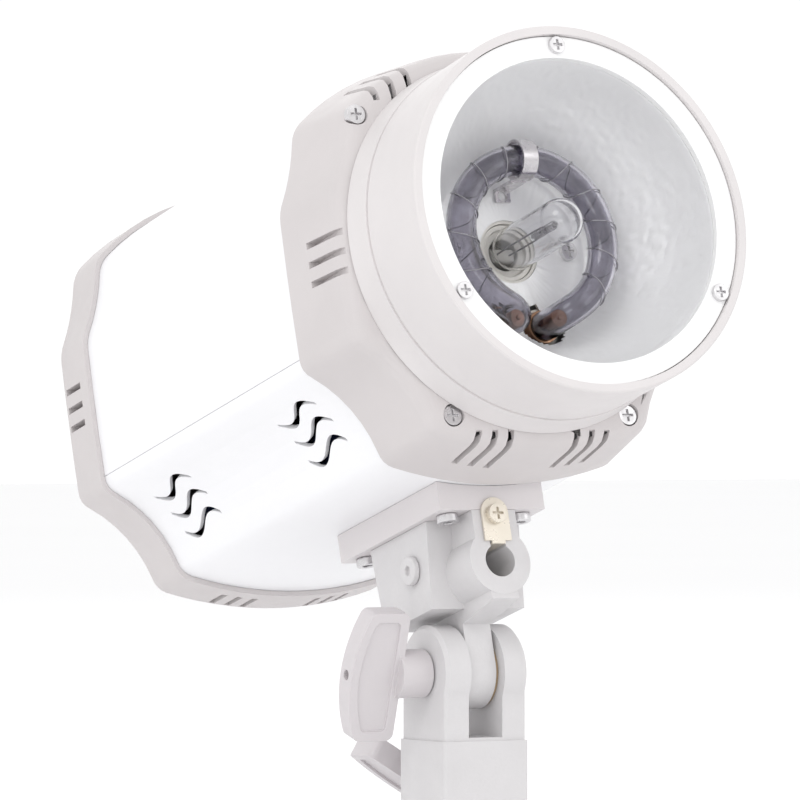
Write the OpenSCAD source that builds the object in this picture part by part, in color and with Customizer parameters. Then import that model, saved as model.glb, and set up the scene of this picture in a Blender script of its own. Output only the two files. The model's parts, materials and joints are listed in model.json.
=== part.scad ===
// Compact studio flash head on a tilting stand bracket.
// Millimetres, +Z up, the lamp looks towards -Y, +X is to the right seen from the front.
// The origin is the centre of the mouth of the light-stand socket.

/* [Head] */
// Angle of the lamp axis above level (degrees)
head_tilt = 16; // [0:1:25]
// Half width of the head across its side flats
half_w = 62.6; // [60:0.2:66]
// Height of the crown above the lamp axis
crown_h = 65.8; // [63:0.2:69]
// Depth of the belly below the lamp axis
belly_h = 65.1; // [63:0.2:68]
// Distance from the trim ring to the crest of the front bezel
crest_y = 42.5; // [41:0.5:46]
// Distance from the trim ring to the back edge of the front bezel
shell_y = 65.3; // [62:0.5:68]
// Distance from the trim ring to the front edge of the rear bezel
rear_y = 196; // [192:1:204]
// Distance from the trim ring to the back of the head
tail_y = 214; // [212:1:220]
// Thickness of the sheet covers
wall = 1.6; // [1.2:0.1:2.2]

/* [Lamp] */
// Outer radius of the collar round the reflector
collar_r = 56; // [54:0.5:57]
// Radius of the mouth of the reflector
mouth_r = 46.3; // [44:0.1:47]
// Depth of the reflector bowl
dish_depth = 39; // [36:0.5:41]
// Radius of the ring of the flash tube, to the middle of the glass
tube_ring_r = 24; // [22:0.5:25]
// Radius of the glass of the flash tube
tube_r = 4.5; // [3.5:0.1:5]
// Turns of trigger wire on the flash tube
trigger_turns = 11; // [6:1:14]
// Radius of the modelling lamp's glass
lamp_r = 6.8; // [5:0.1:8]

/* [Vents] */
// Width of the wave-shaped vents
vent_w = 2.2; // [1.6:0.1:2.8]
// Length of one wave-shaped vent
vent_len = 24; // [18:1:28]
// Swing of one wave-shaped vent to each side
vent_swing = 2.7; // [1.5:0.1:3.2]
// Width of the straight slots in the bezels
slot_w = 2; // [1.4:0.1:2.4]

/* [Bracket] */
// Height of the tilt axis above the mouth of the stand socket
pivot_z = 60; // [56:1:66]
// Drop from the lamp axis to the tilt axis
pivot_drop = 113.3; // [110:0.5:118]
// Distance from the trim ring back to the tilt axis
pivot_back = 101.8; // [98:0.5:106]
// Radius of the socket for the light-stand spigot
socket_r = 8.05; // [7.9:0.05:8.4]
// Radius of the umbrella tube's bore
umbrella_r = 5; // [4:0.1:5.2]
// Radius of both clamp screws
screw_r = 3.98; // [3.4:0.02:4]
// Lean of the tilt knob, top forward (degrees)
tilt_knob_lean = 17; // [0:1:45]
// Lean of the stand knob from upright (degrees)
stand_knob_lean = 59; // [0:1:90]

/* [Hidden] */
$fn = 48;
gap = 0.1;

// ---- Outline of the head, seen from the front, x to the right and z up ----

// Corners of one side of the outline
crown_corner = [half_w - 8.2, crown_h - 22.2];
flat_top = [half_w, crown_h - 47.3];
flat_foot = [half_w, 34.5 - belly_h];
belly_corner = [half_w - 22.9, 6.5 - belly_h];
// Middle of the head, about which the outline is scaled, in units of half_w
shell_k = 1 - wall / half_w;
inner_k = 1 - 2 * wall / half_w;
crest_k = 0.948;
// Height of the joint between the two covers
seam_z = -26;

// The corners run anticlockwise from the foot of the right side flat. Each edge is an arc
// over its chord: a positive rise bulges, a negative one is scooped.
function mirrored(p) = [-p[0], p[1]];
corners = [flat_foot, flat_top, crown_corner, mirrored(crown_corner), mirrored(flat_top),
  mirrored(flat_foot), mirrored(belly_corner), belly_corner];
rises = [0.3, -1.2, crown_h - crown_corner[1], -1.2, 0.3, -4.3, belly_h + belly_corner[1], -4.3];
corner_cut = 3.6;

function arc_r(w, s) = (w * w / 4 + s * s) / (2 * abs(s));
function chord(i) = corners[(i + 1) % 8] - corners[i % 8];
function arc_centre(i) =
  let (d = chord(i), w = norm(d), s = rises[i % 8], n = [d[1], -d[0]] / w)
  corners[i % 8] + d / 2 - sign(s) * n * (arc_r(w, s) - abs(s));
// Point at fraction t of edge i
function arc_at(i, t) =
  let (d = chord(i), w = norm(d), s = rises[i % 8], r = arc_r(w, s), n = [d[1], -d[0]] / w,
       a = asin(w / 2 / r) * (2 * t - 1))
  arc_centre(i) + sign(s) * n * r * cos(a) + d / w * r * sin(a);
// Corner between edge i and the next, rounded between points p and q
function rounded_corner(i, p, q) =
  [for (u = [0.25, 0.5, 0.75])
    (1 - u) * (1 - u) * p + 2 * u * (1 - u) * corners[(i + 1) % 8] + u * u * q];
outline = [for (i = [0 : 7])
  let (w = norm(chord(i)), e = corner_cut / w, next = corner_cut / norm(chord(i + 1)),
       steps = ceil(w / 6.5))
  each concat(
    [for (j = [0 : steps]) arc_at(i, e + (1 - 2 * e) * j / steps)],
    rounded_corner(i, arc_at(i, 1 - e), arc_at(i + 1, next)))];

module head_outline(k = 1) polygon(outline * k);

// ---- Placing and drawing helpers, in the head's own frame: y runs back from the trim ring ----

module in_head()
  translate([0, 0, pivot_z]) rotate([-head_tilt, 0, 0])
    translate([0, -pivot_back, pivot_drop]) children();

// Extrudes a drawing of the front view from y0 backwards
module along(y0, length)
  translate([0, y0 + length, 0]) rotate([90, 0, 0]) linear_extrude(length) children();

// Closed skin through the outline at each [y, scale] in turn
module loft(stations) {
  n = len(outline);
  last = len(stations) - 1;
  polyhedron(
    points = [for (st = stations, p = outline) [p[0] * st[1], st[0], p[1] * st[1]]],
    faces = concat(
      [[for (k = [n - 1 : -1 : 0]) k]],
      [for (i = [0 : last - 1], k = [0 : n - 1])
        [i * n + k, i * n + (k + 1) % n, (i + 1) * n + (k + 1) % n, (i + 1) * n + k]],
      [[for (k = [0 : n - 1]) last * n + k]]));
}

// Round bar along y, at x and z
module bar(r, y0, length, x = 0, z = 0)
  translate([x, y0, z]) rotate([-90, 0, 0]) cylinder(r = r, h = length);

// Turned part about the lamp axis from a half profile of [radius, y]
module turned(fn = 120)
  rotate([-90, 0, 0]) rotate_extrude($fn = fn) children();

module block(x0, x1, y0, y1, z0, z1)
  translate([x0, y0, z0]) cube([x1 - x0, y1 - y0, z1 - z0]);

module rounded(w, d, r) {
  square([w - 2 * r, d], center = true);
  square([w, d - 2 * r], center = true);
  for (x = [-1, 1], y = [-1, 1]) translate([x * (w / 2 - r), y * (d / 2 - r)]) circle(r, $fn = 32);
}

// Screw along y with a round head whose top faces forward
module face_screw(x, z, y_head, head_r, head_h, shank_r, shank_len, back = false)
  translate([x, y_head, z]) rotate([back ? 90 : -90, 0, 0]) difference() {
    union() {
      cylinder(r = head_r, h = head_h);
      cylinder(r = shank_r, h = head_h + shank_len);
    }
    for (turn = [0, 90]) rotate(turn) translate([-head_r * 0.6, -0.35, -1]) cube([head_r * 1.2, 0.7, 2]);
  }

// ---- Places that several pieces share ----

ring_plane = 0;
ring_t = 2.2;
ring_screw_r = 50.2;
ring_screw_turns = [90, 210, 330];
collar_base = 36.8;
dish_y = 3;
dish_base = dish_y + dish_depth;
base_hole_r = 9.75;
tube_plane = 28;
bend_r = 5.5;
gap_angle = 30;
leg_x = tube_ring_r * sin(gap_angle) - bend_r * cos(gap_angle);
leg_z = -tube_ring_r * cos(gap_angle) - bend_r * sin(gap_angle);
bulkhead_y = 46;
face_screws = [[-48, 40.5], [48, 40.5], [-30, -51.5], [30, -51.5]];
tail_screws = [[-46.8, 37.8], [46.8, 37.8], [-29.5, -49.6], [29.5, -49.6]];
panel_y = tail_y - 8;
panel_face = panel_y + 2;
side_slots = [-7.1, -1.2, 4.7];
crown_slots = [29.2, 34.9, 40.6];
belly_slots = [11.3, 16.6, 21.9];
vent_rows = [12, 19.35, 26.7];
vent_places = [91, 172];
vent_k = 0.9745;
plate_y = [72, 134];
plate_bottom = -70.9;
plate_half_w = 18.1;
plate_screw_y = [78, 128];
plate_screw_x = 12.5;
umbrella_z = -86.5;
boss_r = 10.3;
tongue_half = 4.7;
tongue_r = 11;
cheek_r = 14.3;
fork_half = 5.8;
receiver_half = [14, 12.7];
foot_half = [14.6, 13.4];
foot_top = 40;
slot_floor = 41;
socket_depth = 38;
stand_knob_z = 27;
shelf_z = -22;
chassis_back = 187.5;

// ---- Shells ----

module cover_shell() difference() {
  along(shell_y - 3.8, rear_y - shell_y + 7.6) head_outline(shell_k);
  along(shell_y - 5, rear_y - shell_y + 10) head_outline(inner_k);
}

module upper_cover() color("whitesmoke") in_head() intersection() {
  cover_shell();
  block(-80, 80, 0, 230, seam_z + gap, 80);
}

// One wave: a ribbon that follows a sine along y
module vent_wave() {
  steps = 16;
  wave = [for (i = [0 : steps]) let (t = i / steps - 0.5) [t * vent_len, vent_swing * sin(360 * t)]];
  linear_extrude(12, center = true) polygon(concat(
    [for (i = [0 : steps]) wave[i] + [0, vent_w / 2 * (0.45 + 0.55 * sin(180 * i / steps))]],
    [for (i = [steps : -1 : 0]) wave[i] - [0, vent_w / 2 * (0.45 + 0.55 * sin(180 * i / steps))]]));
}

// Places a vent on the lower scoop, at arc distance s below the side flat
module on_scoop(s, y) {
  c = arc_centre(7);
  r = arc_r(norm(chord(7)), rises[7]);
  first = flat_foot - c;
  turn = atan2(first[1], first[0]) + s / r * 180 / PI;
  p = vent_k * (c + r * [cos(turn), sin(turn)]);
  translate([p[0], y, p[1]]) rotate([0, -turn, 0]) rotate([0, 90, 0]) rotate(90) children();
}

module lower_cover() color("whitesmoke") in_head() difference() {
  intersection() {
    cover_shell();
    block(-80, 80, 0, 230, -80, seam_z - gap);
  }
  for (side = [0, 1]) mirror([side, 0, 0])
    for (y = vent_places, s = vent_rows) on_scoop(s, y) vent_wave();
  for (x = [-1, 1], y = plate_screw_y)
    translate([x * plate_screw_x, y, -80]) cylinder(r = 2.2, h = 30);
}

// Three slots on every wall of a bezel, between two depths
module bezel_slots(y0, y1) {
  for (side = [-1, 1]) {
    for (z = side_slots) translate([side * (half_w + 2), (y0 + y1) / 2, z])
      cube([14, y1 - y0, slot_w], center = true);
    for (x = crown_slots) translate([side * x, (y0 + y1) / 2, crown_h - 9])
      cube([slot_w, y1 - y0, 24], center = true);
    for (x = belly_slots) translate([side * x, (y0 + y1) / 2, -belly_h])
      cube([slot_w, y1 - y0, 18], center = true);
  }
}

module front_bezel() color([0.82, 0.81, 0.81]) in_head() difference() {
  union() {
    difference() {
      loft([[collar_base, 0.86], [collar_base + 1, 0.905], [collar_base + 3, 0.935],
        [crest_y, crest_k], [shell_y + 1, 1 + (1 - crest_k) / (shell_y - crest_y)]]);
      block(-80, 80, shell_y, shell_y + 2, -80, 80);
      along(collar_base + 2.5, 30) head_outline(0.905);
      along(shell_y - 4, 5) head_outline(shell_k + 0.0015);
    }
    for (p = face_screws) intersection() {
      bar(5, collar_base + 2.4, bulkhead_y - collar_base - 2.4, p[0], p[1]);
      along(collar_base, 20) head_outline(0.92);
    }
  }
  bar(49, collar_base - 1, 10);
  for (p = face_screws) {
    bar(3.4, collar_base - 1, 4.2, p[0], p[1]);
    bar(1.65, collar_base, 20, p[0], p[1]);
  }
  bezel_slots(collar_base - 1, 54.5);
}

module rear_bezel() color([0.82, 0.81, 0.81]) in_head() difference() {
  loft([[rear_y, 1], [tail_y - 3, 1], [tail_y - 1.6, 0.993], [tail_y - 0.5, 0.976], [tail_y, 0.955]]);
  difference() {
    along(rear_y - 1, tail_y - rear_y + 2) head_outline(0.84);
    for (p = tail_screws) bar(4.6, panel_face + 0.2, tail_y - panel_face - 0.7, p[0], p[1]);
  }
  along(rear_y - 1, panel_face + 0.1 - rear_y + 1) head_outline(0.9);
  along(rear_y - 1, 5) head_outline(shell_k + 0.0015);
  for (p = tail_screws) {
    bar(3.1, tail_y - 3, 4, p[0], p[1]);
    bar(1.65, rear_y, 20, p[0], p[1]);
  }
  bezel_slots(tail_y - 13, tail_y - 3.5);
}

module rear_panel() color("dimgray") in_head() difference() {
  along(panel_y, 2) head_outline(0.895);
  bar(4, panel_y - 1, 4, dial_at[0], dial_at[1]);
  for (p = switches) along_at(p, panel_y - 1, 4) square([13.4, 19.4], center = true);
  bar(5.4, panel_y - 1, 4, button_at[0], button_at[1]);
  bar(2.6, panel_y - 1, 4, ready_at[0], ready_at[1]);
  bar(4.6, panel_y - 1, 4, sensor_at[0], sensor_at[1]);
  bar(5, panel_y - 1, 4, jack_at[0], jack_at[1]);
  bar(6.2, panel_y - 1, 4, fuse_at[0], fuse_at[1]);
  along_at(inlet_at, panel_y - 1, 4) square([27.4, 19.2], center = true);
  for (x = [-20, 20]) bar(1.6, panel_y - 1, 4, inlet_at[0] + x, inlet_at[1]);
  for (p = tail_screws) bar(1.25, panel_y - 1, 4, p[0], p[1]);
}

module along_at(p, y0, length)
  translate([p[0], 0, p[1]]) along(y0, length) children();

// ---- Collar, reflector and light sources ----

module front_collar() color([0.87, 0.85, 0.86]) in_head() difference() {
  turned() polygon([
    [collar_r - 2.7, -1.5], [collar_r - 0.5, -1.5], [collar_r, -1], [collar_r, 26.6],
    [collar_r - 0.5, 26.7], [collar_r - 0.5, 27.3], [collar_r + 0.3, 27.4],
    [collar_r + 0.6, 33], [collar_r + 1.4, collar_base - gap], [50, collar_base - gap],
    [50, 34.8], [collar_r - 2, 34.8], [collar_r - 2, 5.2], [mouth_r + 1.3, 5.2],
    [mouth_r + 1.3, 3.2], [collar_r - 2.7, 3.2]]);
  for (a = ring_screw_turns)
    bar(1.55, 2, 5, ring_screw_r * cos(a), ring_screw_r * sin(a));
}

module trim_ring() color("whitesmoke") in_head() difference() {
  turned() translate([mouth_r + 0.2, 0]) square([53.1 - mouth_r - 0.2, ring_t]);
  for (a = ring_screw_turns)
    bar(1.65, -1, 5, ring_screw_r * cos(a), ring_screw_r * sin(a));
}

module trim_ring_screws() color("silver") in_head()
  for (a = ring_screw_turns)
    face_screw(ring_screw_r * cos(a), ring_screw_r * sin(a), -1.4, 2.6, 1.4, 1.5, 6);

// Points of a bowl wall: part of a ball of radius r about [0, dish_y], from the mouth to y1
function bowl(r, y1, steps = 14) =
  let (last = asin((y1 - dish_y) / r))
  [for (i = [0 : steps]) [r * cos(last * i / steps), dish_y + r * sin(last * i / steps)]];

module reflector_dish() color([0.93, 0.93, 0.94]) in_head() difference() {
  turned() polygon(concat(
    [[52.6, ring_t + gap], [mouth_r, ring_t + gap]], bowl(mouth_r, dish_base),
    [[base_hole_r, dish_base], [base_hole_r, dish_base + 1]],
    [for (i = [14 : -1 : 1]) bowl(mouth_r + 1, dish_base + 1)[i]],
    [[mouth_r + 1, 3.1], [52.6, 3.1]]));
  for (a = ring_screw_turns)
    bar(1.65, 1, 5, ring_screw_r * cos(a), ring_screw_r * sin(a));
  for (side = [-1, 1]) {
    bar(6.4, 30, 20, side * leg_x, leg_z);
    bar(1.6, 30, 20, side * 20, 0);
  }
  bar(1.6, 30, 20, 0, tube_ring_r - 6);
}

module dish_screws() color("silver") in_head()
  for (x = [-20, 20]) face_screw(x, 0, dish_base - 1.6, 2.8, 1.6, 1.5, 6);

// The flash tube is swept through its stations: a leg, a bend, the ring, a bend and a leg
tube_sides = 16;
function around(a) = [cos(a), 0, sin(a)];
function tangent(a) = [-sin(a), 0, cos(a)];
function ring_at(a) = [0, tube_plane, 0] + tube_ring_r * around(a);
function tube_section(p, u, v) =
  [for (k = [0 : tube_sides - 1])
    p + tube_r * (u * cos(360 / tube_sides * k) + v * sin(360 / tube_sides * k))];
// Station on a bend: b runs from 0 at the ring to 90 at the leg, side is 1 before the ring
function bend_at(a, side, b, leg = 0) =
  let (t = tangent(a) * side)
  tube_section(
    ring_at(a) - bend_r * sin(b) * t + [0, bend_r * (1 - cos(b)) + leg, 0],
    around(a), [0, cos(b), 0] + sin(b) * t);
tube_first = gap_angle - 90;
tube_last = 270 - gap_angle;
tube_stations = concat(
  [bend_at(tube_first, 1, 90, 7)],
  [for (b = [90 : -15 : 15]) bend_at(tube_first, 1, b)],
  [for (a = [tube_first : 7.5 : tube_last]) tube_section(ring_at(a), around(a), [0, 1, 0])],
  [for (b = [15 : 15 : 90]) bend_at(tube_last, -1, b)],
  [bend_at(tube_last, -1, 90, 7)]);

module flash_tube() color([0.62, 0.6, 0.66, 0.6]) in_head() {
  n = tube_sides;
  last = len(tube_stations) - 1;
  polyhedron(
    points = [for (ring = tube_stations) each ring],
    faces = concat(
      [[for (k = [n - 1 : -1 : 0]) k]],
      [for (i = [0 : last - 1], k = [0 : n - 1])
        [n * i + k, n * i + (k + 1) % n, n * i + n + (k + 1) % n, n * i + n + k]],
      [[for (k = [0 : n - 1]) n * last + k]]));
}

module tube_ferrules() color("peru") in_head()
  for (side = [-1, 1]) {
    bar(tube_r + 0.5, tube_plane + bend_r + 7.1, 8, side * leg_x, leg_z);
    bar(1.5, tube_plane + bend_r + 15, 9, side * leg_x, leg_z);
  }

module tube_sockets() color("ivory") in_head()
  for (side = [-1, 1]) difference() {
    bar(6.3, dish_base + 1.5, 20, side * leg_x * 1.06, leg_z);
    bar(tube_r + 0.6, dish_base, 7.2, side * leg_x, leg_z);
    bar(1.6, dish_base, 18, side * leg_x, leg_z);
  }

// Fine wire wound round the ring of the tube
wire_r = 0.3;
wind_r = tube_r + wire_r + 0.15;
function wind(t) =
  let (a = 90 + gap_angle + 14 + t * (332 - 2 * gap_angle), w = t * trigger_turns * 360,
       r = tube_ring_r + wind_r * cos(w))
  [r * cos(-a), tube_plane + wind_r * sin(w), r * sin(-a)];
function unit(v) = v / norm(v);
wind_steps = trigger_turns * 12;
function wire_ring(i) =
  let (p = wind(i / wind_steps), d = unit(wind((i + 0.5) / wind_steps) - wind((i - 0.5) / wind_steps)),
       u = unit(cross(d, [0, 1, 0.01])), v = cross(d, u))
  [for (k = [0 : 5]) p + wire_r * (u * cos(60 * k) + v * sin(60 * k))];

module trigger_wire() color("silver") in_head() polyhedron(
  points = [for (i = [0 : wind_steps]) each wire_ring(i)],
  faces = concat(
    [[for (k = [5 : -1 : 0]) k]],
    [for (i = [0 : wind_steps - 1], k = [0 : 5])
      [6 * i + k, 6 * i + (k + 1) % 6, 6 * i + 6 + (k + 1) % 6, 6 * i + 6 + k]],
    [[for (k = [0 : 5]) 6 * wind_steps + k]]));

module tube_clip() color("silver") in_head() difference() {
  union() {
    translate([-2.5, 0, 0]) rotate([90, 0, 90]) linear_extrude(5) difference() {
      union() {
        translate([tube_plane, tube_ring_r]) circle(tube_r + 1.6);
        translate([tube_plane + 3, tube_ring_r - 6]) square([dish_base - tube_plane - 3.1, 1]);
        translate([dish_base - 1.1, tube_ring_r - 9]) square([1, 4]);
      }
      translate([tube_plane, tube_ring_r]) circle(tube_r + 0.95);
    }
  }
  bar(1.6, dish_base - 2, 4, 0, tube_ring_r - 7.2);
}

module modelling_lamp() color([0.95, 0.95, 0.97, 0.5]) in_head() union() {
  turned(48) polygon(concat(
    [[0, 5]], [for (a = [15 : 15 : 90]) [lamp_r * sin(a), 5 + lamp_r * (1 - cos(a))]],
    [[lamp_r, 40], [4.8, 43.6], [4.8, 62], [0, 62]]));
}

module lamp_socket() color("ivory") in_head() difference() {
  union() {
    bar(8.8, dish_base + 1.4, 30, 0, 0);
    bar(15, bulkhead_y + 2, 3, 0, 0);
  }
  bar(5, dish_base, 21, 0, 0);
  bar(7.2, dish_base, 3, 0, 0);
}

module bulkhead() color("silver") in_head() difference() {
  along(bulkhead_y, 2) head_outline(0.9);
  bar(9.1, bulkhead_y - 1, 4);
  for (side = [-1, 1]) {
    bar(6.8, bulkhead_y - 1, 4, side * leg_x * 1.06, leg_z);
    bar(1.55, bulkhead_y - 1, 4, side * 20, 0);
    for (z = [12, -14]) bar(1.6, bulkhead_y - 1, 4, side * 38, z);
  }
  for (p = face_screws) bar(1.3, bulkhead_y - 1, 4, p[0], p[1]);
}

module spacer_posts() color("silver") in_head()
  for (x = [-38, 38], z = [12, -14]) difference() {
    bar(3, bulkhead_y + 2, 16, x, z);
    bar(1.3, bulkhead_y, 20, x, z);
  }

module bezel_screws() color("gray") in_head()
  for (p = face_screws) face_screw(p[0], p[1], collar_base + 0.9, 3, 2.2, 1.25, 8.4);

module rear_bezel_screws() color("gray") in_head()
  for (p = tail_screws) face_screw(p[0], p[1], tail_y - 0.6, 2.8, 2.2, 1.2, 5, true);

// ---- Inside ----

module chassis() color("lightgray") in_head() difference() {
  union() {
    block(-14.4, 14.4, 66, chassis_back, -60.1, -59);
    block(-44, 44, 64, 65.5, -44, 20);
    block(-14.4, 14.4, 64, 66.1, -60.1, -43.9);
    block(-50, 50, 65.4, chassis_back, shelf_z, shelf_z + 1.5);
    block(-14.4, 14.4, chassis_back - 1.5, chassis_back, -60.1, shelf_z + 0.1);
    for (x = [-44, 44], y = [78, 180]) translate([x, y, shelf_z + 1.4]) cylinder(r = 2.5, h = 4.6);
  }
  bar(17, 60, 10);
  block(-16, 16, 60, 70, leg_z - 8, -8);
  for (x = [-38, 38], z = [12, -14]) bar(1.6, 60, 10, x, z);
  for (x = [-44, 44], y = [78, 180]) translate([x, y, shelf_z + 2]) cylinder(r = 1.2, h = 6);
  for (x = [-1, 1], y = plate_screw_y)
    translate([x * plate_screw_x, y, -62]) cylinder(r = 2.05, h = 5);
}

board_z = shelf_z + 6;
module main_board() color("darkgreen") in_head() difference() {
  union() {
    block(-48, 48, 72, 186, board_z, board_z + 1.6);
    for (y = [150, 162, 174]) block(-44, -30, y, y + 8, board_z + 1.5, board_z + 13);
    for (x = [-8, 4], y = [84, 168]) translate([x, y, board_z + 1.5]) cylinder(r = 4.5, h = 14);
    block(-14, 6, 140, 154, board_z + 1.5, board_z + 17);
    block(24, 42, 166, 178, board_z + 1.5, board_z + 10);
  }
  for (x = [-44, 44], y = [78, 180]) translate([x, y, board_z - 1]) cylinder(r = 1.6, h = 4);
}

cap_r = 17.5;
cap_at = [19, -41];
module capacitor(x) in_head() union() {
  bar(cap_r, 90, 92, x, cap_at[1]);
  bar(cap_r - 1.5, 88.6, 1.5, x, cap_at[1]);
  for (side = [-5, 5]) bar(2.5, 84, 5, x + side, cap_at[1]);
}
module capacitor_a() color("midnightblue") capacitor(-cap_at[0]);
module capacitor_b() color("midnightblue") capacitor(cap_at[0]);

module capacitor_strap() color("silver") in_head() difference() {
  block(-38, 38, 132, 144, -41, shelf_z - 0.2);
  block(-36.9, 36.9, 131, 145, -42, shelf_z - 1.4);
  for (x = [-28, 28]) translate([x, 138, -30]) cylinder(r = 1.6, h = 12);
}

module trigger_coil() color("saddlebrown") in_head() {
  translate([-30, 84, board_z + 1.7]) {
    cylinder(r = 8, h = 2);
    cylinder(r = 6.5, h = 22);
    translate([0, 0, 22]) cylinder(r = 8, h = 2);
  }
}

module transformer() color("goldenrod") in_head() difference() {
  union() {
    block(-43, -13, 100, 134, board_z + 1.7, board_z + 29.7);
    block(-48, -8, 104, 130, board_z + 5, board_z + 26);
  }
  for (y = [101.5, 132.5]) translate([-28, y, board_z + 5]) cylinder(r = 1, h = 30);
}

module heat_sink() color("dimgray") in_head() {
  block(12, 46, 90, 150, board_z + 1.7, board_z + 5);
  for (i = [0 : 6]) block(12 + i * 5.4, 13.6 + i * 5.4, 90, 150, board_z + 4.9, board_z + 27);
}

module control_board() color("darkgreen") in_head() difference() {
  block(-44, 44, 188, 189.6, -8, 45.5);
  for (x = [-40, 40], z = [-4, 34]) bar(1.6, 187, 4, x, z);
}

// ---- Controls on the back ----

dial_at = [0, 27];
switches = [[-27, -8], [27, -8]];
button_at = [-27, 17];
ready_at = [-24, 37];
sensor_at = [24, 36];
jack_at = [28, 15];
fuse_at = [25, -34];
inlet_at = [-9, -34];
rocker_tip = 8;

module switch_frame(p) in_head() translate([p[0], 0, p[1]]) difference() {
  union() {
    along(panel_face + gap, 1.6) rounded(17, 23, 1.5);
    along(panel_y - 14, 16.2) square([13, 19], center = true);
  }
  along(panel_y - 4, 12) square([10.6, 16.6], center = true);
  translate([-8, panel_face - 2.5, 0]) rotate([0, 90, 0]) cylinder(r = 1.05, h = 16);
}
module power_switch_frame() color("black") switch_frame(switches[1]);
module lamp_switch_frame() color("black") switch_frame(switches[0]);

// Rocker with a shallow V face, resting with its foot pressed
module rocker(p) in_head() translate([p[0], panel_face - 2.5, p[1]]) rotate([rocker_tip, 0, 0]) {
  translate([-4.9, 0, 0]) rotate([90, 0, 90]) linear_extrude(9.8)
    polygon([[-2, -2.5], [-2, 2.5], [2, 7], [4.6, 7.2], [3.4, 0], [4.6, -7.2], [2, -7]]);
  translate([-6, 0, 0]) rotate([0, 90, 0]) cylinder(r = 1, h = 12);
}
module power_rocker() color("black") rocker(switches[1]);
module lamp_rocker() color("black") rocker(switches[0]);

module power_dial() color("dimgray") in_head() translate([dial_at[0], 0, dial_at[1]]) difference() {
  union() {
    bar(13, panel_face + 0.5, 3);
    bar(11.4, panel_face + 3.4, 8.6);
    for (a = [0 : 20 : 340]) rotate([0, a, 0]) translate([11.2, panel_face + 7.5, 0])
      cube([1.4, 8, 1.6], center = true);
  }
  bar(3.02, panel_face, 9);
  translate([0, panel_face + 12, 7]) cube([1.2, 1, 7], center = true);
}

module dial_shaft() color("silver") in_head() bar(3, panel_y - 5, 14.5, dial_at[0], dial_at[1]);

module dial_pot() color("silver") in_head() difference() {
  union() {
    bar(8, 189.8, panel_y - 3 - 189.8, dial_at[0], dial_at[1]);
    bar(3.9, panel_y - 3.1, 3.6, dial_at[0], dial_at[1]);
  }
  bar(3.06, panel_y - 6, 8, dial_at[0], dial_at[1]);
}

module test_button() color("firebrick") in_head() union() {
  bar(5, panel_y - 3, 8.5, button_at[0], button_at[1]);
  bar(6.5, panel_y - 3, 1.4, button_at[0], button_at[1]);
}

module ready_lamp() color([0.9, 0.3, 0.2, 0.8]) in_head() translate([ready_at[0], 0, ready_at[1]]) {
  bar(2.5, panel_y - 5, 8);
  translate([0, panel_face + 1, 0]) sphere(2.5, $fn = 32);
  bar(3.2, panel_y - 5, 1.5);
}

module slave_sensor() color([0.6, 0.1, 0.1, 0.7]) in_head() translate([sensor_at[0], 0, sensor_at[1]]) {
  bar(4.5, panel_y - 4, 7);
  intersection() {
    translate([0, panel_face, 0]) sphere(6.4, $fn = 48);
    bar(7, panel_face + gap, 10);
  }
}

module sync_jack() color("silver") in_head() translate([jack_at[0], 0, jack_at[1]]) difference() {
  union() {
    bar(4.9, panel_y - 12, 15.5);
    translate([0, panel_face + gap, 0]) rotate([-90, 0, 0]) cylinder(r = 6.6, h = 2, $fn = 6);
    bar(7, panel_y - 13, 11);
  }
  bar(3.2, panel_y - 11, 16);
}

module fuse_holder() color("black") in_head() translate([fuse_at[0], 0, fuse_at[1]]) difference() {
  union() {
    bar(6, panel_y - 21, 24);
    bar(8, panel_face + gap, 1.6);
  }
  bar(5.1, panel_y - 19.9, 30);
}

module fuse_cap() color("black") in_head() translate([fuse_at[0], 0, fuse_at[1]]) difference() {
  union() {
    bar(6.3, panel_face + 2.1, 3.4);
    bar(4.8, panel_y - 1, 6);
  }
  translate([0, panel_face + 5.5, 0]) cube([9, 1.6, 1.3], center = true);
}

module fuse() color("silver") in_head() bar(2.5, panel_y - 19.8, 18, fuse_at[0], fuse_at[1]);

module mains_inlet() color("black") in_head() translate([inlet_at[0], 0, inlet_at[1]]) {
  difference() {
    union() {
      along(panel_face + gap, 2.4) rounded(48, 19.8, 4);
      along(panel_y - 16, 18.2) square([27, 18.8], center = true);
    }
    along(panel_y - 12, 30) square([23, 14.6], center = true);
    for (x = [-20, 20]) bar(1.6, panel_face - 1, 6, x, 0);
  }
  for (p = [[-7, -1.5], [0, 2.5], [7, -1.5]])
    translate([p[0] - 1, panel_y - 12.1, p[1] - 2]) cube([2, 9, 4]);
}

module inlet_screws() color("silver") in_head()
  for (x = [-20, 20]) face_screw(inlet_at[0] + x, inlet_at[1], panel_face + 4.4, 2.8, 1.8, 1.5, 7, true);

// ---- Bracket that hangs under the head ----

module mount_plate() color([0.84, 0.83, 0.83]) in_head() difference() {
  block(-plate_half_w, plate_half_w, plate_y[0], plate_y[1], plate_bottom, -58);
  along(plate_y[0] - 1, 80) head_outline(vent_k + 0.0015);
  for (x = [-1, 1], y = plate_screw_y)
    translate([x * plate_screw_x, y, -80]) cylinder(r = 2.2, h = 30);
}

module plate_screws() color("gray") in_head()
  for (x = [-1, 1], y = plate_screw_y) translate([x * plate_screw_x, y, plate_bottom - 2.5]) difference() {
    union() {
      cylinder(r = 3.3, h = 2.4);
      cylinder(r = 2, h = 14.3);
    }
    translate([0, 0, -1]) cylinder(r = 1.7, h = 2.4, $fn = 6);
  }

// Outline of the tongue and the rib in front of it, drawn as [y, z]
module tongue_side() {
  translate([pivot_back, -pivot_drop]) circle(tongue_r, $fn = 96);
  polygon([
    [pivot_back - tongue_r, -pivot_drop], [pivot_back - tongue_r, -101.2], [71.8, -98.2],
    [72.4, -94.8], [116, -94.8], [pivot_back + tongue_r, -pivot_drop]]);
}

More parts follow.
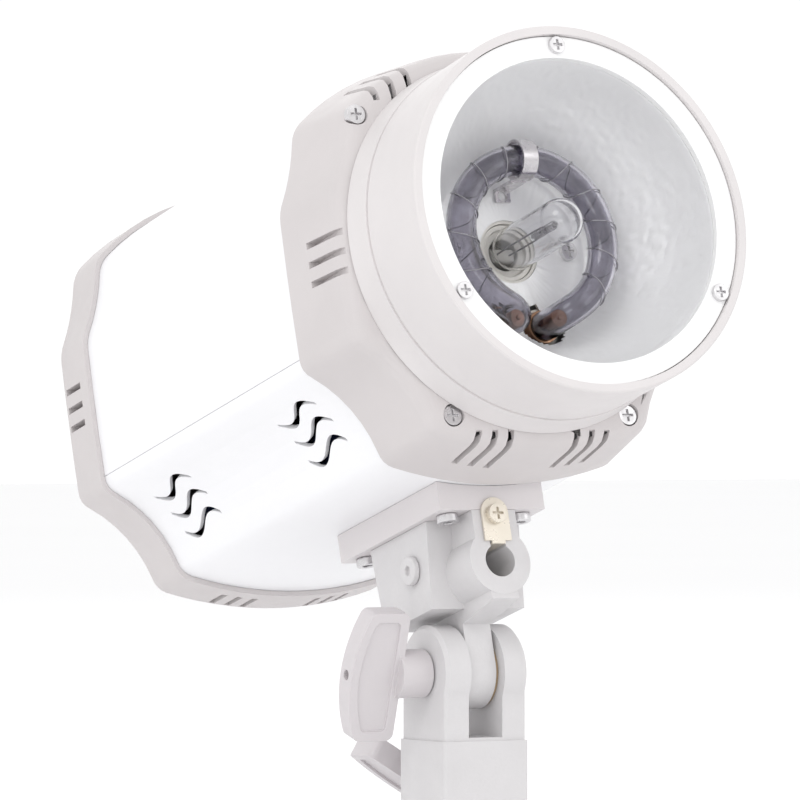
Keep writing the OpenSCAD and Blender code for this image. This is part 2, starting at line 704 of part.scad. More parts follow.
module bracket_upper() color([0.83, 0.82, 0.82]) in_head() difference() {
  union() {
    intersection() {
      block(-16, 16, 84, 120, -97, plate_bottom - gap);
      rotate([90, 0, 90]) linear_extrude(60, center = true)
        polygon([[84.4, -70], [88.4, -97], [116.8, -97], [119.4, -70]]);
    }
    block(-7.5, 7.5, 72, 90, umbrella_z, plate_bottom - gap);
    bar(boss_r, 72, 40, 0, umbrella_z);
    translate([-tongue_half, 0, 0]) rotate([90, 0, 90]) linear_extrude(2 * tongue_half) tongue_side();
  }
  bar(umbrella_r, 60, 80, 0, umbrella_z);
  translate([-30, pivot_back, -pivot_drop]) rotate([0, 90, 0]) cylinder(r = screw_r + 0.07, h = 60);
  translate([-20, 96, umbrella_z + 3.2]) rotate([0, 90, 0]) cylinder(r = 2.1, h = 18);
  bar(1.25, 70, 10, 0, clip_screw_z);
  block(-2.6, 2.6, 71, 92.4, umbrella_z, -80.7);
}

clip_screw_z = -72.6;
module umbrella_clip() color([0.93, 0.88, 0.8]) in_head() difference() {
  union() {
    translate([0, 71.9, 0]) rotate([90, 0, 0]) linear_extrude(0.8) {
      translate([0, -71.9]) circle(4.6);
      translate([-4.6, -80.6]) square([9.2, 80.6 - 71.9]);
      translate([-2.3, -81.6]) square([4.6, 2]);
    }
    block(-2.3, 2.3, 71.1, 92, -81.6, -81);
  }
  bar(1.6, 70, 4, 0, clip_screw_z);
}

module clip_screw() color("gray") in_head() face_screw(0, clip_screw_z, 69.3, 3, 1.8, 1.2, 7);

module side_screw() color("lightgray") in_head()
  translate([-18.2, 96, umbrella_z + 3.2]) rotate([0, 90, 0]) difference() {
    union() {
      cylinder(r = 4.4, h = 2.1);
      cylinder(r = 2, h = 13.1);
    }
    translate([0, 0, -1]) cylinder(r = 1.5, h = 2.5, $fn = 6);
  }

// ---- Receiver, clamp screws and knobs ----

module receiver() color([0.82, 0.82, 0.82]) difference() {
  union() {
    linear_extrude(foot_top) rounded(2 * foot_half[0], 2 * foot_half[1], 1.2);
    translate([0, 0, foot_top - 1]) linear_extrude(pivot_z - foot_top + 1)
      rounded(2 * receiver_half[0], 2 * receiver_half[1], 1);
    translate([-receiver_half[0], 0, pivot_z]) rotate([0, 90, 0]) {
      cylinder(r1 = cheek_r - 1.2, r2 = cheek_r, h = 1.2, $fn = 96);
      translate([0, 0, 1.2]) cylinder(r = cheek_r, h = 2 * receiver_half[0] - 2.4, $fn = 96);
      translate([0, 0, 2 * receiver_half[0] - 1.2])
        cylinder(r1 = cheek_r, r2 = cheek_r - 1.2, h = 1.2, $fn = 96);
    }
    translate([0, 10, stand_knob_z]) rotate([-90, 0, 0]) cylinder(r = 7.4, h = 4.3);
  }
  translate([0, 0, -1]) cylinder(r = socket_r, h = socket_depth + 1, $fn = 64);
  translate([-fork_half, -30, slot_floor]) cube([2 * fork_half, 60, 60]);
  translate([-20, 0, pivot_z]) rotate([0, 90, 0]) cylinder(r = screw_r + 0.07, h = 40);
  translate([receiver_half[0] - 5.6, 0, pivot_z]) rotate([0, 90, 0]) cylinder(r = 7.6, h = 10, $fn = 6);
  translate([0, 4, stand_knob_z]) rotate([-90, 0, 0]) cylinder(r = screw_r + 0.07, h = 20);
}

module friction_washers() color("tan")
  for (side = [0, 1]) mirror([side, 0, 0]) translate([5.05, 0, pivot_z]) rotate([0, 90, 0]) difference() {
    cylinder(r = 10.4, h = 0.7);
    translate([0, 0, -1]) cylinder(r = screw_r + 0.2, h = 3);
  }

module tilt_screw() color("silver")
  translate([-21.5, 0, pivot_z]) rotate([0, 90, 0]) cylinder(r = screw_r, h = 34.5);

module tilt_nut() color("silver")
  translate([receiver_half[0] - 5.5, 0, pivot_z]) rotate([0, 90, 0]) difference() {
    cylinder(r = 7.5, h = 5.3, $fn = 6);
    translate([0, 0, -1]) cylinder(r = screw_r + 0.07, h = 8);
  }

// Wing knob that points along -X from its hub's foot at x = 0, its wing upright
wing_x = [-8.8, -26.2];
module wing_outline(margin = 0) {
  offset(r = 2.4 - margin / 3, $fn = 24) offset(delta = -2.4 + margin / 3 - margin) intersection() {
    translate([wing_x[1] - 1, -20]) square([wing_x[0] - wing_x[1] + 1, 40]);
    translate([wing_x[1] + 46.7, 0]) circle(46.7, $fn = 120);
  }
}
module wing_knob() difference() {
  union() {
    rotate([0, -90, 0]) cylinder(r = 7.3, h = -wing_x[0] + 1.5);
    translate([0, 3.4, 0]) rotate([90, 0, 0]) linear_extrude(6.8) wing_outline();
  }
  for (side = [0, 1]) mirror([0, side, 0]) translate([0, 4, 0]) rotate([90, 0, 0])
    linear_extrude(1.4) wing_outline(3);
  translate([0.1, 0, 0]) rotate([0, -90, 0]) cylinder(r = screw_r + 0.05, h = 8);
  translate([wing_x[1] - 1, 0, 0]) rotate([0, 90, 0]) cylinder(r = 1.5, h = 4);
}

module tilt_knob() color([0.81, 0.79, 0.8])
  translate([-receiver_half[0] - 0.5, 0, pivot_z]) rotate([tilt_knob_lean, 0, 0]) wing_knob();

module stand_screw() color("silver")
  translate([0, socket_r + 0.05, stand_knob_z]) rotate([-90, 0, 0]) cylinder(r = screw_r, h = 13.5);

module stand_knob() color([0.81, 0.79, 0.8])
  translate([0, 14.8, stand_knob_z]) rotate([0, 0, -90]) rotate([stand_knob_lean, 0, 0]) wing_knob();

upper_cover();
lower_cover();
front_bezel();
rear_bezel();
rear_panel();
front_collar();
trim_ring();
trim_ring_screws();
bezel_screws();
rear_bezel_screws();
reflector_dish();
dish_screws();
flash_tube();
tube_ferrules();
tube_sockets();
trigger_wire();
tube_clip();
modelling_lamp();
lamp_socket();
bulkhead();
spacer_posts();
chassis();
main_board();
capacitor_a();
capacitor_b();
capacitor_strap();
trigger_coil();
transformer();
heat_sink();
control_board();
power_switch_frame();
power_rocker();
lamp_switch_frame();
lamp_rocker();
power_dial();
dial_shaft();
dial_pot();
test_button();
ready_lamp();
slave_sensor();
sync_jack();
fuse_holder();
fuse_cap();
fuse();
mains_inlet();
inlet_screws();
mount_plate();
plate_screws();
bracket_upper();
umbrella_clip();
clip_screw();
side_screw();
tilt_screw();
tilt_nut();
friction_washers();
tilt_knob();
receiver();
stand_screw();
stand_knob();
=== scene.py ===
"""Studio flash head: materials, rounded shells, reflector, flash tube and lamp."""
import json
import math

import bmesh
import bpy
from mathutils import Matrix, Vector, noise


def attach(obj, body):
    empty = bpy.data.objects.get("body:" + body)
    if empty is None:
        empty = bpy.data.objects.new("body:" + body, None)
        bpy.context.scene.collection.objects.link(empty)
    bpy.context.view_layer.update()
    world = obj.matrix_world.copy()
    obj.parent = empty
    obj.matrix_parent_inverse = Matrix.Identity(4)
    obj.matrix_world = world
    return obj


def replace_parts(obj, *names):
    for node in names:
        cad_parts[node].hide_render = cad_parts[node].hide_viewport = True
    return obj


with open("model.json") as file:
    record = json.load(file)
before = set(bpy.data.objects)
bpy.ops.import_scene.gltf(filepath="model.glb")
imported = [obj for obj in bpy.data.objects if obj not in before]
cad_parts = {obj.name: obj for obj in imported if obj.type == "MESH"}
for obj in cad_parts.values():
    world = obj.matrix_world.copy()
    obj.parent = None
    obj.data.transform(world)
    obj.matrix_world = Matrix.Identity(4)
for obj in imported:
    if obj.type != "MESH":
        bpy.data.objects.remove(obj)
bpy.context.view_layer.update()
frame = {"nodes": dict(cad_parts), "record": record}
NODES = frame["nodes"]

MM = 0.001

# ---- Camera ----
camera_data = bpy.data.cameras.new("view")
camera_data.lens = 324.5
camera_data.sensor_width = 36.0
camera_data.clip_end = 20.0
camera = bpy.data.objects.new("view", camera_data)
camera.location = (-1.0954, -1.8590, 0.1415)
camera.rotation_euler = (math.radians(90), 0, math.radians(-30))
bpy.context.scene.collection.objects.link(camera)
bpy.context.scene.camera = camera

# ---- Where the head sits: its own frame has y running back from the flange ----
HEAD_TILT = math.radians(16)
PIVOT_Z, PIVOT_BACK, PIVOT_DROP = 60, 101.8, 113.3
HEAD = (
    Matrix.Scale(MM, 4)
    @ Matrix.Translation((0, 0, PIVOT_Z))
    @ Matrix.Rotation(-HEAD_TILT, 4, "X")
    @ Matrix.Translation((0, -PIVOT_BACK, PIVOT_DROP))
)


# ---- Materials ----
class Finish:
    """Builds one material, node by node, on Object coordinates in metres."""

    def __init__(self, name, colour, roughness=0.5, metallic=0.0, **sockets):
        self.material = bpy.data.materials.new(name)
        self.material.use_nodes = True
        self.tree = self.material.node_tree
        self.tree.nodes.clear()
        self.out = self.add("ShaderNodeOutputMaterial")
        self.shader = self.add("ShaderNodeBsdfPrincipled")
        self.join(self.shader, "BSDF", self.out, "Surface")
        self.set(self.shader, "Base Color", (*colour, 1))
        self.set(self.shader, "Roughness", roughness)
        self.set(self.shader, "Metallic", metallic)
        for socket, value in sockets.items():
            self.set(self.shader, socket.replace("_", " "), value)
        self.place = self.add("ShaderNodeTexCoord")
        self.colour = colour
        self.height = None

    def add(self, kind):
        return self.tree.nodes.new(kind)

    def set(self, node, socket, value):
        node.inputs[socket].default_value = value

    def join(self, a, out, b, into):
        self.tree.links.new(a.outputs[out], b.inputs[into])

    def noise(self, scale, detail=3.0, stretch=None, rough=0.5):
        """Noise of a given scale, in features per metre."""
        texture = self.add("ShaderNodeTexNoise")
        self.set(texture, "Scale", scale)
        self.set(texture, "Detail", detail)
        self.set(texture, "Roughness", rough)
        self.mapped(texture, stretch)
        return texture

    def mapped(self, texture, stretch=None):
        if stretch is None:
            self.join(self.place, "Object", texture, "Vector")
            return
        mapping = self.add("ShaderNodeMapping")
        self.set(mapping, "Scale", stretch)
        self.join(self.place, "Object", mapping, "Vector")
        self.join(mapping, "Vector", texture, "Vector")

    def ramp(self, source, low, high, out="Fac", start=0.35, end=0.65):
        node = self.add("ShaderNodeMapRange")
        self.set(node, "From Min", start)
        self.set(node, "From Max", end)
        self.set(node, "To Min", low)
        self.set(node, "To Max", high)
        self.join(source, out, node, "Value")
        return node

    def tint(self, source, other, amount=1.0, start=0.35, end=0.65):
        """Mixes the base colour towards another by a texture."""
        mix = self.add("ShaderNodeMix")
        mix.data_type = "RGBA"
        share = self.ramp(source, 0, amount, start=start, end=end)
        self.join(share, "Result", mix, "Factor")
        sockets = [s for s in mix.inputs if s.type == "RGBA"]
        before = self.shader.inputs["Base Color"]
        if before.links:
            self.tree.links.new(before.links[0].from_socket, sockets[0])
        else:
            sockets[0].default_value = (*self.colour, 1)
        sockets[1].default_value = (*other, 1)
        self.tree.links.new([s for s in mix.outputs if s.type == "RGBA"][0], before)
        return self

    def roughen(self, source, low, high, start=0.35, end=0.65):
        node = self.ramp(source, low, high, start=start, end=end)
        self.join(node, "Result", self.shader, "Roughness")
        return self

    def bump(self, source, out, strength, distance):
        node = self.add("ShaderNodeBump")
        self.set(node, "Strength", strength)
        self.set(node, "Distance", distance)
        self.join(source, out, node, "Height")
        if self.height is not None:
            self.join(self.height, "Normal", node, "Normal")
        self.height = node
        self.join(node, "Normal", self.shader, "Normal")
        return self


def linear(r, g, b):
    """Linear colour from a display one, each 0 to 255."""
    return tuple(
        v / 255 / 12.92 if v / 255 <= 0.04045 else ((v / 255 + 0.055) / 1.055) ** 2.4
        for v in (r, g, b)
    )


def moulded_plastic(name, colour, roughness=0.5, grain=1.0):
    """Fine spark-eroded grain with faint mottling and soft wear."""
    f = Finish(name, colour, roughness, Specular_IOR_Level=0.42)
    pores = f.noise(2600, 2)
    broad = f.noise(34, 4)
    f.tint(broad, tuple(v * 0.93 for v in colour), 0.6)
    f.roughen(f.noise(180, 3), roughness - 0.05, roughness + 0.07)
    f.bump(pores, "Fac", 0.22 * grain, 0.00012)
    return f


def satin_paint(name, colour, roughness=0.34, metallic=0.0, peel=1.0):
    """Sprayed paint with a fine metal flake and a little orange peel."""
    f = Finish(name, colour, roughness, metallic, Coat_Weight=0.25, Coat_Roughness=0.28)
    flake = f.noise(5200, 1)
    broad = f.noise(22, 3)
    f.tint(flake, tuple(v * 0.94 for v in colour), 0.5)
    f.tint(broad, tuple(v * 0.965 for v in colour), 0.6)
    f.roughen(f.noise(260, 3), roughness - 0.04, roughness + 0.06)
    f.bump(f.noise(700, 2), "Fac", 0.1 * peel, 0.00015)
    return f


def cast_paint(name, colour, roughness=0.5):
    """Paint over a die casting: soft pits under an even skin."""
    f = Finish(name, colour, roughness, 0.0, Coat_Weight=0.1, Coat_Roughness=0.4)
    f.tint(f.noise(60, 4), tuple(v * 0.92 for v in colour), 0.6)
    f.tint(f.noise(900, 2), tuple(v * 0.95 for v in colour), 0.4)
    f.roughen(f.noise(240, 3), roughness - 0.07, roughness + 0.07)
    f.bump(f.noise(1300, 3), "Fac", 0.25, 0.00018)
    f.bump(f.noise(150, 2), "Fac", 0.08, 0.0004)
    return f


def metal(name, colour, roughness=0.3, stretch=None, scratch=1.0):
    """Bare or plated metal with fine tool lines and handling marks."""
    f = Finish(name, colour, roughness, 1.0)
    lines = f.noise(1500, 2, stretch or (1, 0.08, 1))
    f.tint(f.noise(120, 4), tuple(v * 0.86 for v in colour), 0.5)
    f.roughen(f.noise(420, 4), roughness - 0.08, roughness + 0.12)
    f.bump(lines, "Fac", 0.16 * scratch, 0.00006)
    return f


def clear(name, colour, roughness=0.02, ior=1.46, streak=0.0):
    f = Finish(name, colour, roughness, 0.0, Transmission_Weight=1.0, IOR=ior)
    if streak:
        f.tint(f.noise(150, 3, (1, 1, 1)), tuple(v * (1 - streak) for v in colour), 0.8)
    f.bump(f.noise(260, 2), "Fac", 0.05, 0.0002)
    return f


def ceramic(name, colour):
    f = Finish(name, colour, 0.55, 0.0, Specular_IOR_Level=0.4)
    f.tint(f.noise(300, 4), tuple(v * 0.9 for v in colour), 0.6)
    f.bump(f.noise(1800, 3), "Fac", 0.3, 0.0001)
    return f


def board(name, colour):
    """Lacquered board: copper tracks show as raised, slightly paler lines."""
    f = Finish(name, colour, 0.32, 0.0, Coat_Weight=0.4, Coat_Roughness=0.2)
    tracks = f.add("ShaderNodeTexBrick")
    f.set(tracks, "Scale", 220)
    f.set(tracks, "Mortar Size", 0.06)
    f.mapped(tracks)
    f.tint(tracks, tuple(min(1, v * 1.7 + 0.02) for v in colour), 0.7, 0.2, 0.8)
    f.bump(tracks, "Fac", 0.2, 0.00008)
    return f


def tape(name, colour):
    f = Finish(name, colour, 0.28, 0.0, Coat_Weight=0.3)
    wave = f.add("ShaderNodeTexWave")
    f.set(wave, "Scale", 160)
    f.mapped(wave)
    f.bump(wave, "Fac", 0.2, 0.0002)
    f.tint(f.noise(80, 3), tuple(v * 0.85 for v in colour), 0.5)
    return f


SILVER = linear(244, 244, 246)
PLASTIC = linear(207, 202, 202)
COLLAR = linear(219, 215, 215)
CASTING = linear(213, 211, 212)
FINISHES = {
    "silver_paint": satin_paint("silver_paint", SILVER, 0.36),
    "bezel_plastic": moulded_plastic("bezel_plastic", PLASTIC, 0.52),
    "collar_plastic": moulded_plastic("collar_plastic", COLLAR, 0.48),
    "panel_plastic": moulded_plastic("panel_plastic", linear(150, 149, 152), 0.5),
    "ring_paint": satin_paint("ring_paint", linear(248, 248, 248), 0.4),
    "dish_aluminium": satin_paint("dish_aluminium", linear(250, 250, 251), 0.34, 0.25, 0.5),
    "zinc_screw": metal("zinc_screw", (0.72, 0.71, 0.72), 0.32),
    "tube_glass": clear("tube_glass", (0.60, 0.585, 0.65), 0.03, 1.5, 0.3),
    "ferrule_copper": metal("ferrule_copper", (0.52, 0.31, 0.2), 0.38),
    "socket_ceramic": ceramic("socket_ceramic", linear(247, 244, 238)),
    "wire_nickel": metal("wire_nickel", (0.35, 0.34, 0.36), 0.3),
    "clip_steel": metal("clip_steel", (0.62, 0.6, 0.62), 0.25),
    "lamp_glass": clear("lamp_glass", (0.97, 0.97, 0.98), 0.01, 1.45),
    "bulkhead_steel": metal("bulkhead_steel", (0.62, 0.62, 0.63), 0.4, (0.1, 1, 1)),
    "post_brass": metal("post_brass", (0.72, 0.53, 0.26), 0.3),
    "board_green": board("board_green", (0.02, 0.12, 0.05)),
    "capacitor_sleeve": tape("capacitor_sleeve", (0.02, 0.03, 0.09)),
    "coil_tape": tape("coil_tape", (0.68, 0.42, 0.04)),
    "transformer_core": cast_paint("transformer_core", (0.06, 0.06, 0.07), 0.45),
    "sink_aluminium": metal("sink_aluminium", (0.66, 0.67, 0.69), 0.35, (0.1, 1, 1)),
    "switch_black": moulded_plastic("switch_black", (0.025, 0.025, 0.028), 0.3, 0.5),
    "rocker_red": moulded_plastic("rocker_red", (0.42, 0.02, 0.015), 0.28, 0.4),
    "dial_plastic": moulded_plastic("dial_plastic", (0.12, 0.12, 0.125), 0.42, 0.8),
    "shaft_steel": metal("shaft_steel", (0.66, 0.66, 0.67), 0.24),
    "button_red": moulded_plastic("button_red", (0.5, 0.03, 0.02), 0.3, 0.4),
    "lens_red": clear("lens_red", (0.85, 0.08, 0.06), 0.08, 1.5),
    "sensor_lens": clear("sensor_lens", (0.3, 0.03, 0.04), 0.06, 1.5),
    "jack_metal": metal("jack_metal", (0.75, 0.75, 0.76), 0.18),
    "fuse_black": moulded_plastic("fuse_black", (0.03, 0.03, 0.033), 0.36, 0.7),
    "fuse_glass": clear("fuse_glass", (0.9, 0.92, 0.92), 0.02),
    "inlet_black": moulded_plastic("inlet_black", (0.028, 0.028, 0.03), 0.4, 0.7),
    "plate_paint": satin_paint("plate_paint", linear(218, 213, 214), 0.42),
    "casting_paint": cast_paint("casting_paint", CASTING),
    "clip_brass": satin_paint("clip_brass", linear(226, 218, 204), 0.3, 0.4),
    "washer_fibre": ceramic("washer_fibre", (0.36, 0.26, 0.16)),
    "knob_casting": satin_paint("knob_casting", linear(209, 204, 206), 0.46),
}
NODE_SLOT = {e["node"]: e["material_slot"] for e in frame["record"]["subparts"]}


def dress(obj, finish):
    """Gives every slot of a piece one finish."""
    material = FINISHES[finish].material
    if not obj.material_slots:
        obj.data.materials.append(material)
    for held in obj.material_slots:
        held.material = material


for name, obj in NODES.items():
    dress(obj, NODE_SLOT[name])


# ---- Making pieces ----
def body_of(node):
    for body, nodes in frame["record"]["behaviour"]["bodies"].items():
        if node in nodes:
            return body
    raise KeyError(node)


def smooth_by_angle(bm, degrees):
    """Rounds the shading everywhere but across edges sharper than the angle."""
    limit = math.radians(degrees)
    for face in bm.faces:
        face.smooth = True
    for edge in bm.edges:
        sharp = len(edge.link_faces) != 2 or edge.calc_face_angle(0) > limit
        edge.smooth = not sharp


def new_piece(name, bm, body, finish, sharp=34, place=HEAD):
    """Turns a bmesh drawn in millimetres into a piece that rides on a body."""
    if place is not None:
        bm.transform(place)
    bmesh.ops.remove_doubles(bm, verts=bm.verts, dist=2e-7)
    bmesh.ops.recalc_face_normals(bm, faces=bm.faces)
    smooth_by_angle(bm, sharp)
    mesh = bpy.data.meshes.new(name)
    bm.to_mesh(mesh)
    bm.free()
    obj = bpy.data.objects.new(name, mesh)
    bpy.context.scene.collection.objects.link(obj)
    dress(obj, finish)
    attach(obj, body)
    return obj


def softened(node, width, segments=3, angle=32, sharp=40, finish=None):
    """Stands a copy of a node in its place, with its edges rounded like a moulding's."""
    source = NODES[node]
    bm = bmesh.new()
    bm.from_mesh(source.data)
    bmesh.ops.remove_doubles(bm, verts=bm.verts, dist=2e-6)
    bmesh.ops.dissolve_limit(
        bm, angle_limit=math.radians(0.6), verts=bm.verts, edges=bm.edges
    )
    smooth_by_angle(bm, sharp)
    mesh = bpy.data.meshes.new(node + "_shape")
    bm.to_mesh(mesh)
    bm.free()
    obj = bpy.data.objects.new(node + "_shape", mesh)
    bpy.context.scene.collection.objects.link(obj)
    dress(obj, finish or NODE_SLOT[node])
    bevel = obj.modifiers.new("edges", "BEVEL")
    bevel.width = width * MM
    bevel.segments = segments
    bevel.limit_method = "ANGLE"
    bevel.angle_limit = math.radians(angle)
    bevel.use_clamp_overlap = True
    bevel.harden_normals = True
    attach(obj, body_of(node))
    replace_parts(obj, node)
    return obj


def spun(profile, steps, closed=False):
    """Spins a half profile of (radius, depth) about the lamp's line, in millimetres."""
    bm = bmesh.new()
    verts = [bm.verts.new((r, y, 0)) for r, y in profile]
    edges = [bm.edges.new(pair) for pair in zip(verts, verts[1:])]
    if closed:
        edges.append(bm.edges.new((verts[-1], verts[0])))
    bmesh.ops.spin(
        bm, geom=verts + edges, axis=(0, 1, 0), cent=(0, 0, 0), steps=steps,
        angle=math.tau, use_merge=True,
    )
    bmesh.ops.remove_doubles(bm, verts=bm.verts, dist=1e-4)
    return bm


def run_ring(bm, points, radius, sides, close_ends=True):
    """Sweeps a round section along points, one extruded ring after another."""
    points = [Vector(p) for p in points]
    last = len(points) - 1
    aims = [(points[min(i + 1, last)] - points[max(i - 1, 0)]).normalized()
            for i in range(len(points))]
    start = aims[0].to_track_quat("Z", "Y").to_matrix().to_4x4()
    start.translation = points[0]
    ring = bmesh.ops.create_circle(
        bm, cap_ends=close_ends, segments=sides, radius=radius, matrix=start)["verts"]
    edges = {e for v in ring for e in v.link_edges if e.other_vert(v) in ring}
    for i in range(1, len(points)):
        grown = bmesh.ops.extrude_edge_only(bm, edges=list(edges))["geom"]
        ring = [g for g in grown if isinstance(g, bmesh.types.BMVert)]
        edges = {g for g in grown if isinstance(g, bmesh.types.BMEdge)
                 and all(v in ring for v in g.verts)}
        turn = aims[i - 1].rotation_difference(aims[i]).to_matrix()
        bmesh.ops.rotate(bm, verts=ring, cent=points[i - 1], matrix=turn)
        bmesh.ops.translate(bm, verts=ring, vec=points[i] - points[i - 1])
    if close_ends:
        bmesh.ops.contextual_create(bm, geom=list(edges))
    return bm


# ---- Rounded edges: the width of the round in millimetres, node by node ----
for node, width in {
    "upper_cover": 0.25, "lower_cover": 0.25, "front_bezel": 0.55, "rear_bezel": 0.8,
    "rear_panel": 0.3, "front_collar": 0.45, "trim_ring": 0.5, "mount_plate": 0.5,
    "bracket_upper": 0.9, "receiver": 0.9, "tilt_knob": 0.9, "stand_knob": 0.9,
    "umbrella_clip": 0.2, "side_screw": 0.6, "power_rocker": 0.6, "lamp_rocker": 0.6,
    "power_switch_frame": 0.5, "lamp_switch_frame": 0.5, "test_button": 0.6,
    "fuse_cap": 0.5, "mains_inlet": 0.4, "tilt_nut": 0.4, "tube_sockets": 0.4,
    "trim_ring_screws": 0.3, "bezel_screws": 0.3, "rear_bezel_screws": 0.3,
    "dish_screws": 0.3, "inlet_screws": 0.3, "plate_screws": 0.3, "clip_screw": 0.35,
    "tube_clip": 0.2, "power_dial": 0.4, "tilt_screw": 0.4, "stand_screw": 0.4,
    "sync_jack": 0.3, "lamp_socket": 0.4,
}.items():
    softened(node, width)

# ---- Hammered reflector ----
MOUTH_R, DISH_Y, DISH_BASE, BASE_HOLE_R = 46.3, 3.0, 42.0, 9.75
RING_R, TUBE_R, TUBE_PLANE, BEND_R = 24.0, 4.5, 28.0, 5.5
GAP_HALF = math.radians(30)
LEG_X = RING_R * math.sin(GAP_HALF) - BEND_R * math.cos(GAP_HALF)
LEG_Z = -RING_R * math.cos(GAP_HALF) - BEND_R * math.sin(GAP_HALF)
HAMMER_PITCH, HAMMER_DEPTH = 1.9, 0.3


def wall_point(t, grow=0.0):
    """A point of the bowl's wall, t running 0 at the mouth to 1 at the flat base."""
    radius = MOUTH_R + grow
    last = math.asin((DISH_BASE + grow - DISH_Y) / radius)
    return radius * math.cos(last * t), DISH_Y + radius * math.sin(last * t)


def hammer(bm):
    """Presses shallow overlapping dimples into the drawn side of the bowl."""
    bm.normal_update()
    for vert in bm.verts:
        r = math.hypot(vert.co.x, vert.co.z)
        if r < BASE_HOLE_R + 0.8 or r > MOUTH_R - 0.05 or vert.co.y < DISH_Y - 0.2:
            continue
        near = noise.voronoi(vert.co / HAMMER_PITCH)[0]
        dimple = min(1.0, (near[1] - near[0]) * 1.6) - 0.5
        inward = Vector((-vert.co.x, DISH_Y - vert.co.y, -vert.co.z)).normalized()
        vert.co += inward * dimple * HAMMER_DEPTH


STEPS = 44
LIP_R, LIP_Y = 51.9, 2.35
LEG_HOLE_R = 6.3
front_profile = [(LIP_R, LIP_Y), (MOUTH_R + 0.2, LIP_Y)]
front_profile += [wall_point(i / STEPS) for i in range(STEPS + 1)]
base_radius = wall_point(1)[0]
front_profile += [
    (base_radius + (BASE_HOLE_R - base_radius) * i / 6, DISH_BASE) for i in range(1, 7)
]
bowl = spun(front_profile, 300)
hammer(bowl)
for side in (-1, 1):
    gone = []
    for face in bowl.faces:
        at = face.calc_center_median()
        if at.y > 20 and math.hypot(at.x - side * LEG_X, at.z - LEG_Z) < LEG_HOLE_R:
            gone.append(face)
    bmesh.ops.delete(bowl, geom=gone, context="FACES")
dish = new_piece("reflector_bowl", bowl, "head", "dish_aluminium", sharp=60)
wall = dish.modifiers.new("wall", "SOLIDIFY")
wall.thickness = 0.7 * MM
wall.offset = -1
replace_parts(dish, "reflector_dish")

# ---- Flash tube: hollow glass with an electrode in each leg ----
def tube_route(leg=7.0, step=5.0):
    """The middle of the tube: a leg, a bend, the ring, a bend and a leg."""
    first, last = math.radians(-60), math.radians(240)

    def on_ring(a):
        return Vector((RING_R * math.cos(a), TUBE_PLANE, RING_R * math.sin(a)))

    def on_bend(a, side, b, extra=0.0):
        aim = Vector((-math.sin(a), 0, math.cos(a))) * side
        back = Vector((0, BEND_R * (1 - math.cos(b)) + extra, 0))
        return on_ring(a) - BEND_R * math.sin(b) * aim + back

    quarter = math.radians(90)
    route = [on_bend(first, 1, quarter, leg), on_bend(first, 1, quarter, leg / 2)]
    route += [on_bend(first, 1, quarter * (1 - i / 10)) for i in range(10)]
    count = round(math.degrees(last - first) / step)
    route += [on_ring(first + (last - first) * i / count) for i in range(count + 1)]
    route += [on_bend(last, -1, quarter * i / 10) for i in range(1, 11)]
    route += [on_bend(last, -1, quarter, leg / 2), on_bend(last, -1, quarter, leg)]
    return route


glass = run_ring(bmesh.new(), tube_route(), TUBE_R, 32)
tube = new_piece("flash_tube_glass", glass, "head", "tube_glass", sharp=50)
bore = tube.modifiers.new("bore", "SOLIDIFY")
bore.thickness = 1.1 * MM
bore.offset = -1
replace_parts(tube, "flash_tube")

# Each electrode is a thin rod and a short thick tip: sides, radius, length, middle's depth
ELECTRODE = ((24, 0.8, 15, 37.5), (28, 2.6, 5, 33.4))
ALONG_LAMP = Matrix.Rotation(math.radians(90), 4, "X")
for side, word in ((-1, "left"), (1, "right")):
    rod = bmesh.new()
    for sides, radius, length, y in ELECTRODE:
        bmesh.ops.create_cone(
            rod, cap_ends=True, segments=sides, radius1=radius, radius2=radius,
            depth=length, matrix=Matrix.Translation((side * LEG_X, y, LEG_Z)) @ ALONG_LAMP)
    bmesh.ops.bevel(
        rod, geom=[e for e in rod.edges if e.calc_face_angle(0) > 1.2], offset=0.3,
        segments=3, profile=0.5, affect="EDGES", material=-1)
    new_piece("electrode_" + word, rod, "head", "ferrule_copper")

# ---- Trigger wire: one fine round wire wound on the ring ----
TURNS, WIRE_R = 11, 0.18
WIND_R = TUBE_R + WIRE_R + 0.02


def wound(t):
    """Where the wire runs, t going 0 to 1 along it."""
    a = math.radians(-(134 + t * 272))
    w = t * TURNS * math.tau
    r = RING_R + WIND_R * math.cos(w)
    return r * math.cos(a), TUBE_PLANE + WIND_R * math.sin(w), r * math.sin(a)


wire = run_ring(bmesh.new(), [wound(i / 330) for i in range(331)], WIRE_R, 8)
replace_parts(new_piece("trigger_winding", wire, "head", "wire_nickel", sharp=60), "trigger_wire")

# ---- Modelling lamp: a clear capsule round a coiled filament ----
LAMP_R = 6.8
capsule = [(0.0, 5.0)]
capsule += [
    (LAMP_R * math.sin(math.radians(a)), 5 + LAMP_R * (1 - math.cos(math.radians(a))))
    for a in range(8, 91, 8)
]
capsule += [(LAMP_R, 12), (LAMP_R, 38.5), (6.2, 41.2), (5.0, 43.4), (4.7, 45), (4.7, 50)]
lamp = new_piece("lamp_capsule", spun(capsule, 72), "head", "lamp_glass", sharp=60)
lamp_wall = lamp.modifiers.new("wall", "SOLIDIFY")
lamp_wall.thickness = 0.6 * MM
lamp_wall.offset = -1
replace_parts(lamp, "modelling_lamp")

pinch = bmesh.new()
bmesh.ops.create_cube(
    pinch, size=1, matrix=Matrix.Translation((0, 52.5, 0)) @ Matrix.Diagonal((8.4, 14, 4.2, 1)))
bmesh.ops.bevel(
    pinch, geom=list(pinch.edges), offset=0.9, segments=3, profile=0.5, affect="EDGES",
    material=-1)
new_piece("lamp_base", pinch, "head", "socket_ceramic")

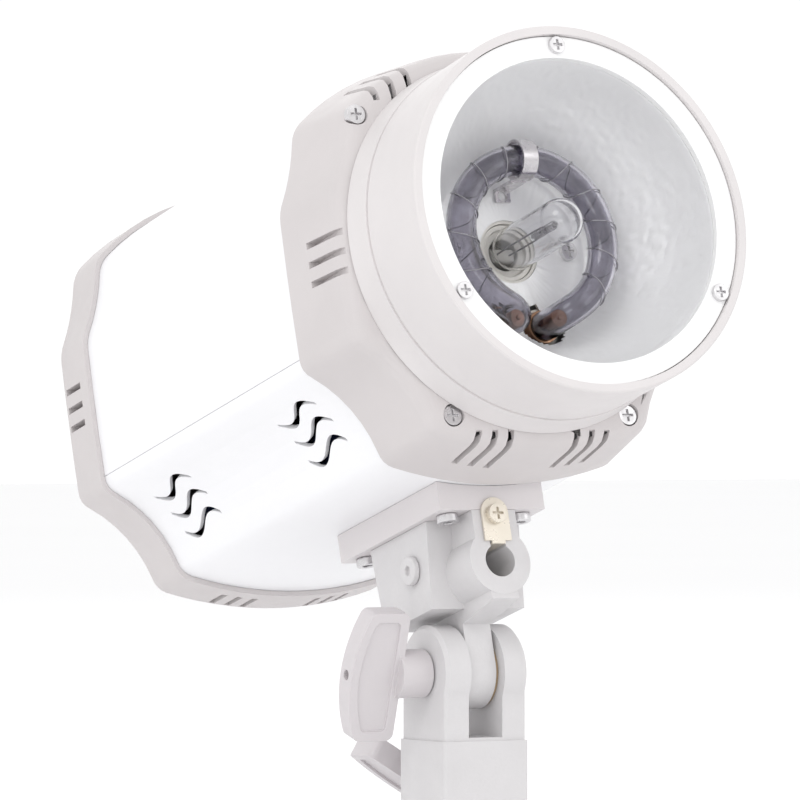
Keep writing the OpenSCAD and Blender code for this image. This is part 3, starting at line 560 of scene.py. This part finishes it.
COIL_R = 1.15
coil = [(COIL_R * math.cos(i * 0.7), 15 + i * 0.075, COIL_R * math.sin(i * 0.7))
        for i in range(150)]
filament = run_ring(bmesh.new(), coil, 0.22, 6)
new_piece("lamp_filament", filament, "head", "wire_nickel", sharp=70)

# The left lead runs on to the coil's front end and the right one stops at its back end
LEAD_R = 0.28
LEAD_ROUTES = {
    "left": ((2.3, 46), (2.9, 38), (2.9, 20), (2.3, 15.6), (1.15, 15.0)),
    "right": ((2.3, 46), (2.6, 38), (2.6, 30), (2.0, 27.2), (1.15, 26.2)),
}
for side, word in ((-1, "left"), (1, "right")):
    route = [(side * x, y, 0) for x, y in LEAD_ROUTES[word]]
    leads = run_ring(bmesh.new(), route, LEAD_R, 8)
    new_piece("lamp_lead_" + word, leads, "head", "wire_nickel", sharp=70)

# ---- Ring that closes the gap between the bowl and the lamp's socket ----
GASKET_INNER, GASKET_OUTER = 8.9, 11.5
gasket_front, gasket_back = DISH_BASE + 0.75, DISH_BASE + 1.5
gasket = spun([(GASKET_INNER, gasket_front), (GASKET_OUTER, gasket_front),
               (GASKET_OUTER, gasket_back), (GASKET_INNER, gasket_back)], 72, closed=True)
new_piece("lamp_gasket", gasket, "head", "socket_ceramic")

# ---- Setting ----
floor = bmesh.new()
bmesh.ops.create_grid(floor, x_segments=1, y_segments=1, size=9)
bmesh.ops.translate(floor, verts=floor.verts, vec=(0, 0, -0.0005))
floor_mesh = bpy.data.meshes.new("floor")
floor.to_mesh(floor_mesh)
floor.free()
floor_obj = bpy.data.objects.new("floor", floor_mesh)
bpy.context.scene.collection.objects.link(floor_obj)
ground = Finish("floor", (0.93, 0.93, 0.935), 0.9)
ground.tint(ground.noise(1.5, 2), (0.92, 0.92, 0.925), 0.5)
floor_obj.data.materials.append(ground.material)

world = bpy.data.worlds.new("studio")
world.use_nodes = True
world.node_tree.nodes["Background"].inputs["Color"].default_value = (1, 1, 1, 1)
world.node_tree.nodes["Background"].inputs["Strength"].default_value = 1.04
bpy.context.scene.world = world
bpy.context.scene.view_settings.view_transform = "Standard"


def soft_light(name, place, aim, size, power):
    data = bpy.data.lights.new(name, "AREA")
    data.shape = "DISK"
    data.size = size
    data.energy = power
    obj = bpy.data.objects.new(name, data)
    obj.location = place
    obj.rotation_euler = (Vector(aim) - Vector(place)).to_track_quat("-Z", "Y").to_euler()
    bpy.context.scene.collection.objects.link(obj)


TARGET = (0, 0, 0.13)
soft_light("key", (-1.6, -1.0, 1.9), TARGET, 1.2, 9)
soft_light("fill", (1.7, -1.6, 1.0), TARGET, 1.4, 4)
soft_light("rim", (0.6, 1.9, 1.6), TARGET, 1.2, 6)
soft_light("low", (-0.9, -1.7, 0.12), TARGET, 0.9, 3)
